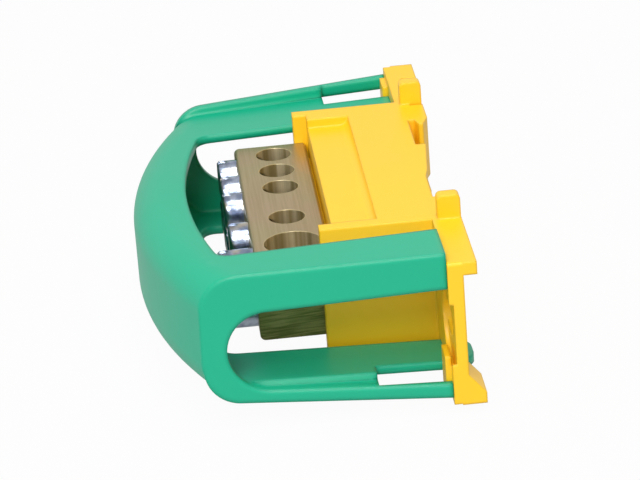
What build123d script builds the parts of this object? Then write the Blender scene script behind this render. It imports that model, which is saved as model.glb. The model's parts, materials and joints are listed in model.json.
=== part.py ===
from build123d import *
import os
from math import atan, degrees, radians, sqrt, tan

# Earth distribution block for a 35 mm rail: a moulded base with a brass bar on its front, clamp
# screws in two rows, and a moulded cage cover. X runs along the bar, -Y points to the front where
# the screws are, and wires enter along Z. The origin is the middle of the seat on the rail. Most
# moulded features repeat after half a turn about Y.

# Base plate
base_length = 90.0
base_height = 23.6
plate_front = 1.25
plate_back = 1.2
plate_corner = 0.5
rim_depth = 3.3
rim_height = 2.1
heel_depth = 3.8
heel_height = 4.9
heel_flat = 1.8

# Rail seat, for a rail lip that is 35 mm wide and 1 mm thick
rail_width = 35.0
rail_lip = 1.0
lip_gap = 0.1
claw_reach = 2.1
claw_nose = 0.6
claw_depth = 3.35
claw_length = 7.0
claw_height = 10.3
rib_depth = 1.7
rib_low = 0.55
rib_height = 5.8
rib_start = 6.0
rib_slope = 11.6
rib_run_out = 2.7

# Block that carries the bar
block_length = 53.4
block_depth = 18.9
cheek = 2.2
pocket_depth = 1.6
pocket_back = 9.65
pocket_front = 16.6
pocket_end_margin = 4.3
pocket_near_margin = 2.4
pocket_radius = 1.4
seat_pad_height = 10.0

# Bar
bar_clearance = 0.1
bar_depth = 12.2
bar_edge = 0.9
bar_back_edge = 0.4
bar_seat = 17.05
wire_pitch = 7.5
wire_bore = 5.9
first_wire = -20.2
middle_gap = 13.2
main_bore = 9.2
main_wire = 19.0
wire_axis = 22.8
main_axis = 22.7

# Clamp screws
screw_radius = 3.0
screw_length = 6.4
screw_running_gap = 0.05
screw_web = 0.9
screw_wall = 0.4
screw_stand_out = 3.15
main_stand_out = 5.45
slot_width = 1.0
slot_depth = 1.5
screw_chamfer = 0.35

# Screw that holds the bar to the base
fixing_place = 1.5
fixing_radius = 2.0
fixing_head_radius = 3.5
fixing_head = 2.6
fixing_length = 14.0
fixing_well = 9.0
fixing_gap = 0.05
well_gap = 0.4
shank_gap = 0.2
thread_spare = 1.0
fixing_recess = 1.2
fixing_recess_width = 1.0

# Lugs on top of the base
lug_place = 26.1
lug_width = 2.2
lug_height = 3.9
lug_root = 2.1
lug_front = 0.4
lug_back = 3.25
lug_radius = 0.8

# Fixing slots in the wings
wing_slot_margin = 7.0
wing_slot_width = 4.4
wing_slot_length = 7.5
wing_recess_radius = 6.3
wing_recess = 0.7
wing_recess_margin = 4.0

# Cover
cover_gap = 0.05
cover_wall = 1.4
cover_length = 89.2
cover_height = 22.6
cover_front = 47.3
arch_radius = 112.0
end_draft = 3.6
side_draft = 2.0
cover_skew = 4.97
front_radius = 5.5
inner_chamfer = 2.4
rim_level = 10.6
rim_draft = 3.0
rim_set_back = 0.3
arm_width = 11.6
tongue_inner = 28.0
tongue_width = 10.0
tongue_reach = 3.2
tongue_radius = 3.6
tongue_gap = 0.2
arm_slot_depth = 12.5
opening_front = 38.5
opening_corner = 35.0
opening_radius = 2.5
window_depth = 4.2
window_front = 35.2
window_round = 28.6
window_top = 7.6
window_bottom = 8.45
window_top_front = 6.0
window_bottom_front = 7.2
guide_gap = 0.2
guide_depth = 0.9
guide_height = 4.4
guide_step = 1.3

# Sizes that follow from those above
half_length = base_length / 2
half_height = base_height / 2
block_end = block_length / 2
wing_slot_place = half_length - wing_slot_margin
wing_recess_place = half_length - wing_recess_margin
bar_length = block_length - 2 * cheek - 2 * bar_clearance
bar_front = bar_seat + bar_depth
bar_middle = bar_seat + bar_depth / 2
screw_bore = screw_radius + screw_running_gap
screw_row = screw_bore + screw_web / 2
bar_height = 2 * (screw_row + screw_bore + screw_wall)
wire_places = [first_wire + i * wire_pitch for i in range(3)]
wire_places.append(wire_places[-1] + middle_gap)
cover_back = plate_front + cover_gap
arch_centre = arch_radius - cover_front
skew_angle = degrees(atan(cover_skew / cover_length))
tongue_outer = tongue_inner + tongue_width
heel_length = half_length - tongue_outer - guide_gap
across = 2 * base_length
arch_angle = 90.0


def turned(part):
    """The same part after half a turn about the depth axis."""
    return part.rotate(Axis.Y, 180)


def side_height(y):
    """Half the height of the cover's outside, on its middle line, at a place along Y."""
    return cover_height / 2 + (y + cover_back) * tan(radians(side_draft))


def end_place(y):
    """Half the length of the cover's outside at a place along Y."""
    return cover_length / 2 + (y + cover_back) * tan(radians(end_draft))


def swept_along_arch(profile):
    """A profile on the middle line, turned about the front arch's axis and skewed as the cover is."""
    arch_axis = Axis((0, arch_centre, 0), (0, 0, 1))
    with BuildPart() as sweep:
        add(profile)
        revolve(axis=arch_axis, revolution_arc=arch_angle)
    centred = sweep.part.rotate(arch_axis, -arch_angle / 2)
    return centred.rotate(Axis.Y, -skew_angle)


def cover_form(inset):
    """The cover's solid form. The inside has the wall's thickness as inset, and plain corners."""
    front = -cover_front + inset
    inner_end = arch_centre - arch_radius / 2
    with BuildSketch(Plane.YZ) as profile:
        with BuildLine():
            Polyline(
                (inner_end, side_height(inner_end) - inset),
                (front, side_height(front) - inset),
                (front, -side_height(front) + inset),
                (inner_end, -side_height(inner_end) + inset),
                close=True,
            )
        make_face()
        front_corners = profile.vertices().group_by(Axis.X)[0]
        if inset == 0:
            fillet(front_corners, front_radius)
        else:
            chamfer(front_corners, inner_chamfer)
    with BuildPart() as form:
        with BuildSketch():
            with BuildLine():
                Polyline(
                    (-end_place(-cover_back) + inset, -cover_back),
                    (end_place(-cover_back) - inset, -cover_back),
                    (end_place(-cover_front) - inset, -cover_front),
                    (-end_place(-cover_front) + inset, -cover_front),
                    close=True,
                )
            make_face()
        extrude(amount=base_height, both=True)
        add(swept_along_arch(profile.sketch), mode=Mode.INTERSECT)
    return form.part


def end_rim():
    """The far end wall's upper rim, which stands above the cover's skewed top."""
    front = arch_centre - sqrt(arch_radius**2 - end_place(-cover_front) ** 2) + rim_set_back
    with BuildPart() as rim:
        with BuildSketch():
            with BuildLine():
                Polyline(
                    (-end_place(-cover_back), -cover_back),
                    (-end_place(-cover_back) + cover_wall, -cover_back),
                    (-end_place(front) + cover_wall, front),
                    (-end_place(front), front),
                    close=True,
                )
            make_face()
        extrude(amount=base_height)
        with BuildSketch(Plane.YZ) as side:
            with BuildLine():
                Polyline(
                    (-cover_back, 0),
                    (-cover_back, rim_level),
                    (front, rim_level + (front + cover_back) * tan(radians(rim_draft))),
                    (front, 0),
                    close=True,
                )
            make_face()
            fillet(side.vertices().group_by(Axis.X)[0].sort_by(Axis.Y)[-1], front_radius)
        extrude(amount=-across, mode=Mode.INTERSECT)
    return rim.part


def tongue_form(gap):
    """The tongue of the far top corner, or with a gap the slot in the plate that takes it."""
    root = -cover_back - cover_wall
    tip = tongue_reach + gap
    inner_end = arch_centre - arch_radius / 2
    with BuildSketch(Plane.YZ) as profile:
        with BuildLine():
            Polyline(
                (inner_end, side_height(inner_end) + gap),
                (-cover_front, side_height(-cover_front) + gap),
                (-cover_front, side_height(-cover_front) - cover_wall - gap),
                (inner_end, side_height(inner_end) - cover_wall - gap),
                close=True,
            )
        make_face()
    with BuildPart() as tongue:
        with BuildSketch() as plan:
            with Locations((-tongue_inner - tongue_width / 2, tip)):
                Rectangle(tongue_width + 2 * gap, tip - root, align=(Align.CENTER, Align.MAX))
            if gap == 0:
                fillet(plan.vertices().group_by(Axis.Y)[-1], tongue_radius)
        extrude(amount=base_height)
        add(swept_along_arch(profile.sketch), mode=Mode.INTERSECT)
    return tongue.part


# Base: features of the upper half, which the lower half repeats after half a turn
with BuildPart() as upper_features:
    with Locations((half_length, plate_back, half_height)):
        Box(
            half_length - lug_place,
            rim_depth - plate_back,
            rim_height,
            align=(Align.MAX, Align.MIN, Align.MAX),
        )
    with BuildSketch(Plane.YZ.offset(-half_length)):
        with BuildLine():
            Polyline(
                (0, half_height),
                (heel_depth, half_height),
                (heel_depth, half_height - heel_flat),
                (plate_back, half_height - heel_height),
                (0, half_height - heel_height),
                close=True,
            )
        make_face()
    extrude(amount=heel_length)
    with BuildSketch(Plane.XY.offset(half_height)):
        with BuildLine():
            Polyline(
                (-rail_width / 2 - claw_length, -plate_front),
                (-rail_width / 2 - claw_length, claw_depth),
                (-rail_width / 2 - claw_nose, claw_depth),
                (-rail_width / 2 + claw_reach, claw_depth - rail_lip),
                (-rail_width / 2 + claw_reach, rail_lip + claw_nose),
                (-rail_width / 2, rail_lip + lip_gap),
                (-rail_width / 2, -plate_front),
                close=True,
            )
        make_face()
        with BuildLine():
            Polyline(
                (rail_width / 2, -plate_front),
                (rail_width / 2, rail_lip),
                (rail_width / 2 + claw_nose, claw_depth),
                (rail_width / 2 + claw_length, claw_depth),
                (rail_width / 2 + claw_length, -plate_front),
                close=True,
            )
        make_face()
    extrude(amount=-claw_height)
    with BuildSketch(Plane.XY.offset(half_height)):
        with BuildLine():
            Polyline(
                (-rib_start, -plate_front),
                (-rib_start, rib_depth),
                (-rib_start + rib_slope, rib_low),
                (-rib_start + rib_slope + rib_run_out, 0),
                (-rib_start + rib_slope + rib_run_out, -plate_front),
                close=True,
            )
        make_face()
    extrude(amount=-rib_height)
    with Locations((-tongue_outer - guide_gap, -plate_front, half_height - guide_step)):
        Box(
            end_place(-cover_back) - cover_wall - tongue_outer - 2 * guide_gap,
            guide_depth,
            half_height - guide_step - guide_height,
            align=(Align.MAX, Align.MAX, Align.MAX),
        )

with BuildPart() as upper_cuts:
    with Locations((block_end - pocket_near_margin, -pocket_back, half_height)):
        Box(
            block_length - pocket_near_margin - pocket_end_margin,
            block_depth,
            2 * pocket_depth,
            align=(Align.MAX, Align.MAX, Align.CENTER),
        )
    floor_back = upper_cuts.edges().filter_by(Axis.X).group_by(Axis.Z)[0].sort_by(Axis.Y)[-1]
    fillet(floor_back, pocket_radius)

with BuildPart() as base:
    with BuildSketch(Plane.XZ.offset(plate_front)):
        RectangleRounded(base_length, base_height, plate_corner)
    extrude(amount=-plate_front - plate_back)
    with BuildSketch(Plane.XZ):
        Rectangle(block_length, base_height)
    extrude(amount=block_depth)
    Box(
        rail_width,
        plate_back,
        base_height,
        align=(Align.CENTER, Align.MIN, Align.CENTER),
        mode=Mode.SUBTRACT,
    )
    with Locations((0, -pocket_front, 0)):
        Box(
            bar_length + 2 * bar_clearance,
            block_depth,
            base_height,
            align=(Align.CENTER, Align.MAX, Align.CENTER),
            mode=Mode.SUBTRACT,
        )
    with Locations((0, -pocket_front, 0)):
        Box(
            bar_length - 2 * cheek,
            bar_seat - pocket_front,
            seat_pad_height,
            align=(Align.CENTER, Align.MAX, Align.CENTER),
        )
    add(upper_features.part)
    add(turned(upper_features.part))
    add(upper_cuts.part, mode=Mode.SUBTRACT)
    add(turned(upper_cuts.part), mode=Mode.SUBTRACT)
    add(tongue_form(tongue_gap), mode=Mode.SUBTRACT)
    add(turned(tongue_form(tongue_gap)), mode=Mode.SUBTRACT)
    for side in (-1, 1):
        with BuildSketch(Plane.XY.offset(half_height - lug_root)):
            with Locations((side * lug_place, (lug_back - lug_front) / 2)):
                Rectangle(lug_width, lug_back + lug_front)
        extrude(amount=lug_root + lug_height)
    lug_tops = base.edges().group_by(Axis.Z)[-1].filter_by(Axis.X)
    fillet(lug_tops, lug_radius)
    with BuildSketch(Plane.XZ.offset(plate_front)):
        with Locations((-wing_recess_place, 0), (wing_recess_place, 0)):
            Circle(wing_recess_radius)
    extrude(amount=-wing_recess, mode=Mode.SUBTRACT)
    with BuildSketch(Plane.XZ.offset(plate_front)):
        with Locations((-wing_slot_place, 0), (wing_slot_place, 0)):
            SlotOverall(wing_slot_length, wing_slot_width)
    extrude(amount=-plate_front - plate_back, mode=Mode.SUBTRACT)
    with BuildSketch(Plane.XZ.offset(-claw_depth)):
        with Locations((fixing_place, 0)):
            Circle(fixing_head_radius + well_gap)
    extrude(amount=fixing_well + claw_depth, mode=Mode.SUBTRACT)
    with BuildSketch(Plane.XZ.offset(-claw_depth)):
        with Locations((fixing_place, 0)):
            Circle(fixing_radius + shank_gap)
    extrude(amount=bar_seat + claw_depth, mode=Mode.SUBTRACT)
base.part.label = "base"

# Bar
with BuildPart() as terminal_bar:
    with Locations((0, -bar_middle, 0)):
        Box(bar_length, bar_depth, bar_height)
    long_edges = terminal_bar.edges().filter_by(Axis.X).group_by(Axis.Y)
    chamfer(long_edges[-1], bar_back_edge)
    fillet(long_edges[0], bar_edge)
    with BuildSketch(Plane.XY.offset(bar_height / 2)):
        with Locations(*[(x, -wire_axis) for x in wire_places]):
            Circle(wire_bore / 2)
        with Locations((main_wire, -main_axis)):
            Circle(main_bore / 2)
    extrude(amount=-bar_height, mode=Mode.SUBTRACT)
    with BuildSketch(Plane.XZ.offset(bar_front)):
        with Locations(*[(x, side * screw_row) for x in wire_places for side in (-1, 1)]):
            Circle(screw_bore)
    extrude(amount=wire_axis - bar_front, mode=Mode.SUBTRACT)
    with BuildSketch(Plane.XZ.offset(bar_front)):
        with Locations((main_wire, -screw_row), (main_wire, screw_row)):
            Circle(screw_bore)
    extrude(amount=main_axis - bar_front, mode=Mode.SUBTRACT)
    with BuildSketch(Plane.XZ.offset(bar_seat)):
        with Locations((fixing_place, 0)):
            Circle(fixing_radius + fixing_gap)
    extrude(amount=fixing_well + fixing_length - bar_seat + thread_spare, mode=Mode.SUBTRACT)
terminal_bar.part.label = "terminal_bar"

# Screw that holds the bar, with its head down a well in the base
with BuildPart() as bar_fixing_screw:
    with BuildSketch(Plane.XZ.offset(fixing_well - fixing_head)):
        with Locations((fixing_place, 0)):
            Circle(fixing_head_radius)
    extrude(amount=fixing_head)
    with BuildSketch(Plane.XZ.offset(fixing_well - fixing_head)):
        with Locations((fixing_place, 0)):
            Circle(fixing_radius)
    extrude(amount=fixing_head + fixing_length)
    with BuildSketch(Plane.XZ.offset(fixing_well - fixing_head)):
        with Locations((fixing_place, 0)):
            Rectangle(2 * fixing_head_radius, fixing_recess_width)
    extrude(amount=fixing_recess, mode=Mode.SUBTRACT)
bar_fixing_screw.part.label = "bar_fixing_screw"

# Cover
with BuildPart() as cover_cuts:
    with BuildSketch() as opening:
        with BuildLine():
            Polyline(
                (-tongue_inner, -opening_corner),
                (-tongue_inner, 0),
                (half_length - arm_width, 0),
                (half_length - arm_width, -opening_corner),
            )
            ThreePointArc(
                (half_length - arm_width, -opening_corner),
                ((half_length - arm_width - tongue_inner) / 2, -opening_front),
                (-tongue_inner, -opening_corner),
            )
        make_face()
        fillet(opening.vertices().group_by(Axis.Y)[0], opening_radius)
    extrude(amount=base_height)
    with BuildSketch(Plane.YZ.offset(half_length)):
        with BuildLine():
            Polyline(
                (-window_round, window_top_front),
                (0, window_top),
                (0, -window_bottom),
                (-window_round, -window_bottom_front),
            )
            ThreePointArc(
                (-window_round, -window_bottom_front),
                (-window_front, (window_top_front - window_bottom_front) / 2),
                (-window_round, window_top_front),
            )
        make_face()
    extrude(amount=-window_depth)
    with Locations((-tongue_outer, 0, guide_height)):
        Box(
            end_place(-cover_back) - cover_wall - tongue_outer,
            2 * arm_slot_depth,
            base_height,
            align=(Align.MAX, Align.CENTER, Align.MIN),
        )

with BuildPart() as cover:
    add(cover_form(0))
    add(end_rim())
    add(turned(end_rim()))
    add(cover_form(cover_wall), mode=Mode.SUBTRACT)
    add(cover_cuts.part, mode=Mode.SUBTRACT)
    add(turned(cover_cuts.part), mode=Mode.SUBTRACT)
    add(tongue_form(0))
    add(turned(tongue_form(0)))
cover.part.label = "cover"


def clamp_screw(x, z, stand_out):
    """A headless slotted clamp screw, its slotted end standing out of the bar."""
    outer_end = bar_front + stand_out
    with BuildPart() as screw:
        with BuildSketch(Plane.XZ.offset(outer_end)):
            with Locations((x, z)):
                Circle(screw_radius)
        extrude(amount=-screw_length)
        chamfer(screw.edges().group_by(Axis.Y)[0], screw_chamfer)
        with BuildSketch(Plane.XZ.offset(outer_end)):
            with Locations((x, z)):
                Rectangle(slot_width, 2 * screw_radius)
        extrude(amount=-slot_depth, mode=Mode.SUBTRACT)
    return screw.part


# Clamp screws: two rows, numbered from the far end
clamp_screws = {}
for row, height in (("upper", screw_row), ("lower", -screw_row)):
    for number, place in enumerate(wire_places + [main_wire], start=1):
        stand_out = main_stand_out if place == main_wire else screw_stand_out
        name = f"clamp_screw_{row}_{number}"
        clamp_screws[name] = clamp_screw(place, height, stand_out)
        clamp_screws[name].label = name

os.makedirs("parts", exist_ok=True)
export_step(base.part, "parts/base.step")
export_step(terminal_bar.part, "parts/terminal_bar.step")
export_step(bar_fixing_screw.part, "parts/bar_fixing_screw.step")
export_step(cover.part, "parts/cover.step")
for name, part in clamp_screws.items():
    export_step(part, f"parts/{name}.step")
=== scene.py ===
# %% [markdown]
# An earth distribution block: a yellow moulded base that clips onto a rail, a brass bar with clamp
# screws on its front, and a green moulded cage that covers the screws. Its solids come from the CAD
# model and keep their places. This script gives them their finishes, softens their edges and lights
# them. Sizes are in metres, in the model's own frame: X along the bar, Y back to the rail, Z up.

# %% Load the frame
import json
from math import radians

import bpy
from mathutils import Matrix, Vector

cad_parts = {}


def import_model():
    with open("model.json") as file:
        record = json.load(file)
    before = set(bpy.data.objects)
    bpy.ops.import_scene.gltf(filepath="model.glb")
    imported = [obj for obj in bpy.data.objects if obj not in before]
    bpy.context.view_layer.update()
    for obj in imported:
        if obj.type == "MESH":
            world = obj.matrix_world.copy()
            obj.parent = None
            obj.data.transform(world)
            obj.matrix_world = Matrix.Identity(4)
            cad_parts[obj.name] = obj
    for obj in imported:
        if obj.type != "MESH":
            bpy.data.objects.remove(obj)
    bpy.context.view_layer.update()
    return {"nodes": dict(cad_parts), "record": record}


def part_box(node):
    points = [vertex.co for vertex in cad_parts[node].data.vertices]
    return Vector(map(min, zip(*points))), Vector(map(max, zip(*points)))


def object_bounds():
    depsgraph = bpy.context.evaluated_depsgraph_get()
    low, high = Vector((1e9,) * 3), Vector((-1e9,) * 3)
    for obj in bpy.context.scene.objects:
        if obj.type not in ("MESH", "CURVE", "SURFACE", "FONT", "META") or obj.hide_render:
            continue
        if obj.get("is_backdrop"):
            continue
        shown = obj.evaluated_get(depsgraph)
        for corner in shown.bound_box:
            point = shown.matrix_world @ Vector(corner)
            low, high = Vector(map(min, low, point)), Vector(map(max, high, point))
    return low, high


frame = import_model()
nodes = frame["nodes"]

MM = 0.001


# %% [markdown]
# Most of what follows is shader maths, such as a noise that is scaled, mixed and cut off. In Blender
# each step is a node and a few links, which reads badly as code. A small class that wraps a node's
# output, and adds the Math node when two outputs are multiplied or added, keeps it readable. A second
# one adds any other node in one line, with its settings and what goes into it.

# %% Shader values as Python expressions
class Value:
    """A node's output, which can be used in sums with other outputs and with plain numbers."""

    def __init__(self, owner, socket):
        self.owner = owner
        self.socket = socket

    def math(self, operation, *others):
        return self.owner.node("ShaderNodeMath", {"operation": operation}, [self, *others])

    def __add__(self, other):
        return self.math("ADD", other)

    def __sub__(self, other):
        return self.math("SUBTRACT", other)

    def __rsub__(self, other):
        return self.owner.node("ShaderNodeMath", {"operation": "SUBTRACT"}, [other, self])

    def __mul__(self, other):
        return self.math("MULTIPLY", other)

    __radd__ = __add__
    __rmul__ = __mul__

    def smooth(self, low, high):
        """0 below low, 1 above high, with a soft step between them."""
        settings = {"interpolation_type": "SMOOTHSTEP"}
        inputs = {"Value": self, "From Min": low, "From Max": high}
        return self.owner.node("ShaderNodeMapRange", settings, inputs)


class NodeTree:
    """A tree of nodes, for a material or the world."""

    def __init__(self, tree):
        self.tree = tree

    def node(self, kind, settings=None, inputs=None, output=0):
        """Adds a node. Its settings are set first, then its sockets, by place or by name."""
        made = self.tree.nodes.new(kind)
        for key, value in (settings or {}).items():
            setattr(made, key, value)
        pairs = inputs.items() if isinstance(inputs, dict) else enumerate(inputs or [])
        for key, value in pairs:
            self.join(made.inputs[key], value)
        return Value(self, made.outputs[output])

    def join(self, socket, value):
        if isinstance(value, Value):
            self.tree.links.new(value.socket, socket)
        else:
            socket.default_value = value


class Shader(NodeTree):
    """One material's nodes, with a Principled surface."""

    def __init__(self, name):
        self.material = bpy.data.materials.new(name)
        self.material.use_nodes = True
        super().__init__(self.material.node_tree)
        self.surface = self.tree.nodes["Principled BSDF"]

    def set(self, **sockets):
        """Sets the surface's sockets, with underscores for the spaces in their names."""
        for name, value in sockets.items():
            self.join(self.surface.inputs[name.replace("_", " ")], value)

    def place(self):
        """The place on the object, in metres, in the model's frame."""
        return self.node("ShaderNodeTexCoord", output="Object")

    def stretched(self, scale):
        """The place, with each axis scaled, so that a texture runs long along one of them."""
        return self.node("ShaderNodeVectorMath", {"operation": "MULTIPLY"}, [self.place(), scale])

    def slanted(self, angle, scale):
        """The place turned about X by an angle in degrees, then scaled along each axis."""
        inputs = {"Vector": self.place(), "Angle": radians(angle)}
        turned = self.node("ShaderNodeVectorRotate", {"rotation_type": "X_AXIS"}, inputs)
        return self.node("ShaderNodeVectorMath", {"operation": "MULTIPLY"}, [turned, scale])

    def axes(self):
        """The place's X, Y and Z as three values."""
        split = self.node("ShaderNodeSeparateXYZ", None, [self.place()]).socket.node
        return [Value(self, output) for output in split.outputs]

    def noise(self, scale, detail=2.0, roughness=0.5, at=None):
        at = at or self.place()
        inputs = {"Vector": at, "Scale": scale, "Detail": detail, "Roughness": roughness}
        return self.node("ShaderNodeTexNoise", None, inputs)

    def mix(self, factor, first, second):
        """A colour between two others. A colour has four numbers, the last for alpha."""
        inputs = {"Factor": factor, 6: first, 7: second}
        return self.node("ShaderNodeMix", {"data_type": "RGBA"}, inputs, output=2)

    def rounded(self, radius):
        """A normal that turns smoothly across a sharp edge, as on an edge with this radius."""
        return self.node("ShaderNodeBevel", {"samples": 8}, {"Radius": radius})

    def bump(self, height, depth, normal):
        """A normal from a height between 0 and 1, which stands for a depth in metres."""
        return self.node("ShaderNodeBump", None, {"Height": height, "Distance": depth, "Normal": normal})


def colour(red, green, blue):
    """A colour from its sRGB numbers, as a colour picker shows them, for a shader's socket."""
    shares = [number / 255 for number in (red, green, blue)]
    linear = [s / 12.92 if s <= 0.04045 else ((s + 0.055) / 1.055) ** 2.4 for s in shares]
    return (*linear, 1.0)


print("white is", colour(255, 255, 255))


# %% [markdown]
# The base and the cover are injection moulded in a hard plastic. Their faces are smooth but not
# polished: a fine grain from the tool makes highlights soft, and slow differences in the gloss follow
# the flow of the plastic. The colour itself is the same throughout, so only a very weak, slow noise
# changes it.

# %% Moulded plastic
grain_depth = 0.004 * MM


def moulded(name, pale, deep, roughness, edge):
    shader = Shader(name)
    flow = shader.noise(60.0, detail=3.0)
    grain = shader.noise(9000.0, detail=2.0)
    shader.set(
        Base_Color=shader.mix(flow, deep, pale),
        Roughness=roughness + (flow - 0.5) * 0.12 + (grain - 0.5) * 0.08,
        Normal=shader.bump(grain, grain_depth, shader.rounded(edge)),
        IOR=1.5,
    )
    return shader.material


yellow = moulded("yellow_moulding", colour(255, 205, 34), colour(254, 199, 28), 0.38, 0.6 * MM)
green = moulded("green_moulding", colour(3, 175, 135), colour(2, 169, 129), 0.4, 1.2 * MM)
print("plastics:", yellow.name, green.name)


# %% [markdown]
# The bar is drawn brass, so fine lines run along its length, and its colour drifts a little from
# greenish to pinkish where the surface has begun to tarnish. Its ends are sawn, which leaves coarse,
# dull, slanting marks. Its holes come from a drill; their bores are painted with light and dark
# streaks along their length, a painted reflection, and a lighter ring round each hole is partly a
# freshly cut edge and partly a painted highlight. A metal has no colour of its own under the light: it
# tints what it reflects, so the shader is fully metallic. One shader does all three finishes, because
# the bar is one piece: the place on the bar says which finish holds there. The holes' places and
# radii come from the model's record, so the finish stays with the holes if the model changes.

# %% Masks for the bar's ends and holes
wire_holes = [mount for mount in frame["record"]["mounts"] if mount["kind"] == "clamp"]
bar_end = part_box("terminal_bar")[1].x


def near_hole(shader, reach):
    """1 inside each wire hole and as far as the reach beyond its edge."""
    x, y = shader.axes()[:2]
    mask = 0.0
    for hole in wire_holes:
        across = x - hole["pos_m"][0]
        along = y - hole["pos_m"][1]
        radius = hole["dims"]["r_mm"] * MM + reach
        distance = (across * across + along * along).math("SQRT")
        mask = (1 - distance.smooth(radius - 0.02 * MM, radius + 0.04 * MM)) + mask
    return mask


def at_ends(shader):
    """1 on the two sawn ends of the bar."""
    x = shader.axes()[0]
    return x.math("ABSOLUTE").smooth(bar_end - 0.08 * MM, bar_end - 0.02 * MM)


print("wire holes:", [hole["dims"]["r_mm"] for hole in wire_holes], "bar end:", round(bar_end / MM, 2))


# %% Brass
cut_rim_and_highlight_width = 0.12 * MM
saw_angle = -4.0
scratch_depth = 0.05 * MM
broken_edge = 0.16 * MM


def brass():
    shader = Shader("bar_brass")
    holes = near_hole(shader, 0.0)
    # A ring round each hole that is partly a freshly cut edge and partly a painted highlight.
    cut_rims_and_highlight = near_hole(shader, cut_rim_and_highlight_width) - holes
    ends = at_ends(shader)
    lines = shader.noise(2500.0, detail=3.0, at=shader.stretched((0.03, 1.0, 1.0)))
    patches = shader.noise(110.0, detail=2.0)
    drawn = shader.mix(patches.smooth(0.35, 0.65), colour(190, 175, 133), colour(196, 173, 137))
    drawn = shader.mix(lines.smooth(0.3, 0.7) * 0.35, drawn, colour(164, 146, 105))
    # Painted reflection: light and dark streaks along each bore, in a bright brass tone.
    reflection_streaks = shader.noise(550.0, detail=2.0, at=shader.stretched((1.0, 1.0, 0.02)))
    bore_reflection = shader.mix(reflection_streaks.smooth(0.35, 0.65), colour(158, 141, 92), colour(246, 234, 200))
    strokes = shader.noise(3400.0, detail=4.0, at=shader.slanted(saw_angle, (1.0, 0.05, 1.0)))
    sawn = shader.mix(strokes.smooth(0.35, 0.7), colour(108, 116, 63), colour(157, 156, 102))
    # The lighter colour on the ring round each hole is partly a cut edge and partly a painted highlight.
    tone = shader.mix(cut_rims_and_highlight, shader.mix(holes, drawn, bore_reflection), colour(206, 189, 140))
    height = lines * (1 - ends) * 0.12 + strokes * ends
    shader.set(
        Base_Color=shader.mix(ends, tone, sawn),
        Roughness=0.4 + (lines - 0.5) * 0.2 + holes * 0.2 + ends * 0.2,
        Normal=shader.bump(height, scratch_depth, shader.rounded(broken_edge)),
        Metallic=1.0,
    )
    return shader.material


bar_brass = brass()
print("metal:", bar_brass.name)


# %% [markdown]
# The clamp screws are turned steel with a bright zinc plating, which is smooth, slightly blue, and
# reflects the brass and the cover. The plating is never quite even, so patches of it are a little duller
# and the reflections get soft borders. Random patches are also painted yellower, as a painted
# reflection of the brass. Fine rings from the turning run round each screw.

# %% Zinc plated steel
plating_waves = 0.07 * MM
screw_rounding = 1.3 * MM


def plated_steel():
    shader = Shader("screw_steel")
    rings = shader.noise(1800.0, detail=2.0, at=shader.stretched((0.15, 1.0, 0.15)))
    cloud = shader.noise(520.0, detail=3.0)
    # Painted reflection of the brass: random patches of the plating are tinted yellow.
    brass_reflection_patches = shader.noise(300.0, detail=1.0).smooth(0.5, 0.75) * 0.6
    plating = shader.mix(cloud.smooth(0.3, 0.7), colour(128, 140, 166), colour(190, 199, 216))
    shader.set(
        Base_Color=shader.mix(brass_reflection_patches, plating, colour(214, 192, 132)),
        Roughness=0.2 + (cloud - 0.5) * 0.2 + (rings - 0.5) * 0.06,
        Normal=shader.bump(cloud * 0.7 + rings * 0.3, plating_waves, shader.rounded(screw_rounding)),
        Metallic=1.0,
    )
    return shader.material


screw_steel = plated_steel()
print("plating:", screw_steel.name)


# %% [markdown]
# Every CAD node keeps its form and gets its finish. A moulding never has a knife edge. A Bevel modifier
# could round the edges in the mesh, but these meshes have very short edges where arcs meet, and the
# modifier either shrinks its width to those or tears the faces. So the rounding is in the shaders: their
# Bevel node bends the normal near each edge, which catches the light as the real edges do.

# %% Finish the nodes
finishes = {"base": yellow, "cover": green, "terminal_bar": bar_brass}
for name, node in nodes.items():
    node.data.materials.clear()
    node.data.materials.append(finishes.get(name, screw_steel))
    print(name, "-", node.data.materials[0].name)


# %% [markdown]
# The block lies on a white table, which is to come out white in the picture. Stronger lamps would do
# that and spoil the colours of the block. So the table shows almost plain white to the camera and part
# of that to reflections, and the little that is left of its own surface keeps the block's soft shadow.

# %% Table
table_gap = 0.02 * MM
table_half = 3.0


def table():
    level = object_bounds()[0][2] - table_gap
    half = table_half
    mesh = bpy.data.meshes.new("table")
    corners = [(-half, -half, level), (half, -half, level), (half, half, level), (-half, half, level)]
    mesh.from_pydata(corners, [], [(0, 1, 2, 3)])
    plane = bpy.data.objects.new("table", mesh)
    bpy.context.collection.objects.link(plane)
    shader = Shader("white_table")
    shader.set(Base_Color=colour(188, 188, 188), Roughness=0.6)
    own = Value(shader, shader.surface.outputs[0])
    paper = shader.node("ShaderNodeEmission", None, {"Color": (1, 1, 1, 1), "Strength": 1.0})
    seen = shader.node("ShaderNodeLightPath", output="Is Camera Ray")
    mirrored = shader.node("ShaderNodeLightPath", output="Is Glossy Ray")
    blend = shader.node("ShaderNodeMixShader", None, [seen * 0.96 + mirrored * 0.3, own, paper])
    shader.join(shader.tree.nodes["Material Output"].inputs["Surface"], blend)
    mesh.materials.append(shader.material)
    plane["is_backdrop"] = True
    return level


table_level = table()
print("table at", round(table_level / MM, 2), "mm")


# %% [markdown]
# The world gives soft light from all round. It is white to the camera, and whiter in reflections than
# the light that it casts, so that the metal shows the backdrop too. Reflections don't get all of that
# white, because a photo studio has dark corners, and the real bar's top reflects them.

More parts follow.
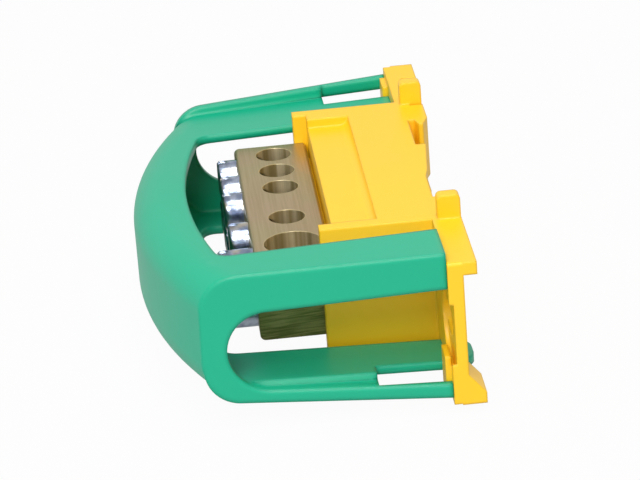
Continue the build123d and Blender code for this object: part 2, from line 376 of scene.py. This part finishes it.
# %% World and lamps
def world(strength, mirrored_share):
    made = bpy.data.worlds.new("studio")
    made.use_nodes = True
    sky = NodeTree(made.node_tree)
    background = sky.tree.nodes["Background"]
    sky.join(background.inputs["Color"], (1, 1, 1, 1))
    seen = sky.node("ShaderNodeLightPath", output="Is Camera Ray")
    through = sky.node("ShaderNodeLightPath", output="Is Transmission Ray")
    mirrored = sky.node("ShaderNodeLightPath", output="Is Glossy Ray")
    white = seen + through + mirrored * mirrored_share
    levels = {"Value": white, "To Min": strength, "To Max": 1.0}
    sky.join(background.inputs["Strength"], sky.node("ShaderNodeMapRange", None, levels))
    bpy.context.scene.world = made


def lamp(name, place, target, size, power):
    light = bpy.data.lights.new(name, "AREA")
    light.shape = "RECTANGLE"
    light.size, light.size_y = size
    light.energy = power
    made = bpy.data.objects.new(name, light)
    made.location = place
    made.rotation_euler = (Vector(target) - Vector(place)).to_track_quat("-Z", "Y").to_euler()
    bpy.context.collection.objects.link(made)


world(0.5, mirrored_share=0.45)
block_middle = (0.0, -0.022, 0.0)
lamp("overhead", (0.22, 0.02, 0.9), block_middle, (0.35, 0.35), 2.9)
lamp("key", (0.7, -0.22, 0.64), block_middle, (0.4, 0.4), 5.6)
lamp("front_fill", (0.6, -0.65, 0.16), block_middle, (0.25, 0.25), 0.5)


# %% [markdown]
# The camera was fitted to the photo. It looks along the bar from its near end, a little from above,
# and from far away, so the perspective is weak. The picture leans by a few degrees, because the real
# block rests tilted on its cover.

# %% Camera
picture_width = 640
focal_pixels = 3310.7
view_azimuth = radians(86.51)
view_elevation = radians(22.59)
view_roll = radians(4.3)
aim = Vector((0.60, -17.29, -0.75)) * MM
distance = 542.19 * MM

lens = bpy.data.cameras.new("camera")
lens.sensor_width = 36.0
lens.lens = lens.sensor_width * focal_pixels / picture_width
lens.clip_start = 0.01
camera = bpy.data.objects.new("camera", lens)
turn = Matrix.Rotation(view_azimuth, 4, "Z") @ Matrix.Rotation(radians(90) - view_elevation, 4, "X")
turn = turn @ Matrix.Rotation(-view_roll, 4, "Z")
back = turn.to_3x3() @ Vector((0, 0, 1))
camera.matrix_world = Matrix.Translation(aim + back * distance) @ turn
bpy.context.collection.objects.link(camera)
bpy.context.scene.camera = camera
bpy.context.scene.view_settings.view_transform = "Standard"
print("camera at", [round(c / MM, 1) for c in camera.location])
